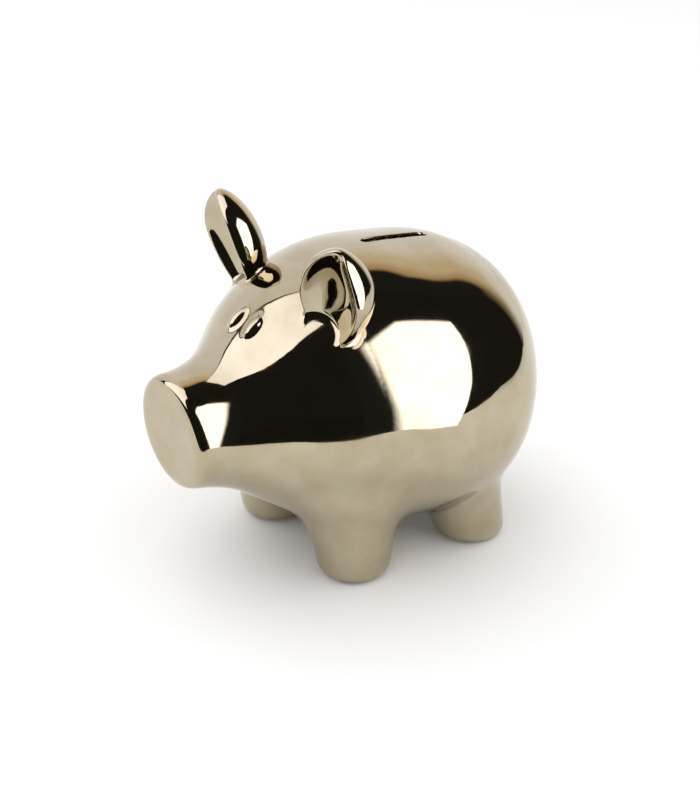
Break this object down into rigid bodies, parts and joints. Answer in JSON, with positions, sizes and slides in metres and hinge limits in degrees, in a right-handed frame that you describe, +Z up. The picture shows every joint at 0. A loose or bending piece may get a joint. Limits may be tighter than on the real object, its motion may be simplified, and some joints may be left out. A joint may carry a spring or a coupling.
{
  "type": "piggy bank",
  "caption": "Hollow ceramic pig for saving coins, with a slot in its back, cupped ears, a curled tail and a pull-out stopper in its belly.",
  "frame": {"origin": "on the floor, midway between the snout's face and the back of the tail, in the pig's plane of symmetry", "axes": "+Z up; the pig faces -Y, so +Y runs from snout to tail; +X points to the pig's left"},
  "size_m": [0.1402, 0.18, 0.1561],
  "materials": {
    "lustre_glaze": "mirror-bright champagne-gold metallic lustre over glaze",
    "stopper_rubber": "soft matt black moulded rubber",
    "pad_felt": "brown pressed wool felt"
  },
  "bodies": {
    "bank": {"body_shell": "lustre_glaze", "ear_left": "lustre_glaze", "ear_right": "lustre_glaze", "tail": "lustre_glaze", "pad_front_left": "pad_felt", "pad_front_right": "pad_felt", "pad_hind_left": "pad_felt", "pad_hind_right": "pad_felt"},
    "stopper": {"stopper": "stopper_rubber"}
  },
  "joints": [
    {"name": "stopper_pull", "type": "slide", "parent": "bank", "child": "stopper", "axis": [0, 0, -1], "range_m": [0, 0.04]}
  ]
}
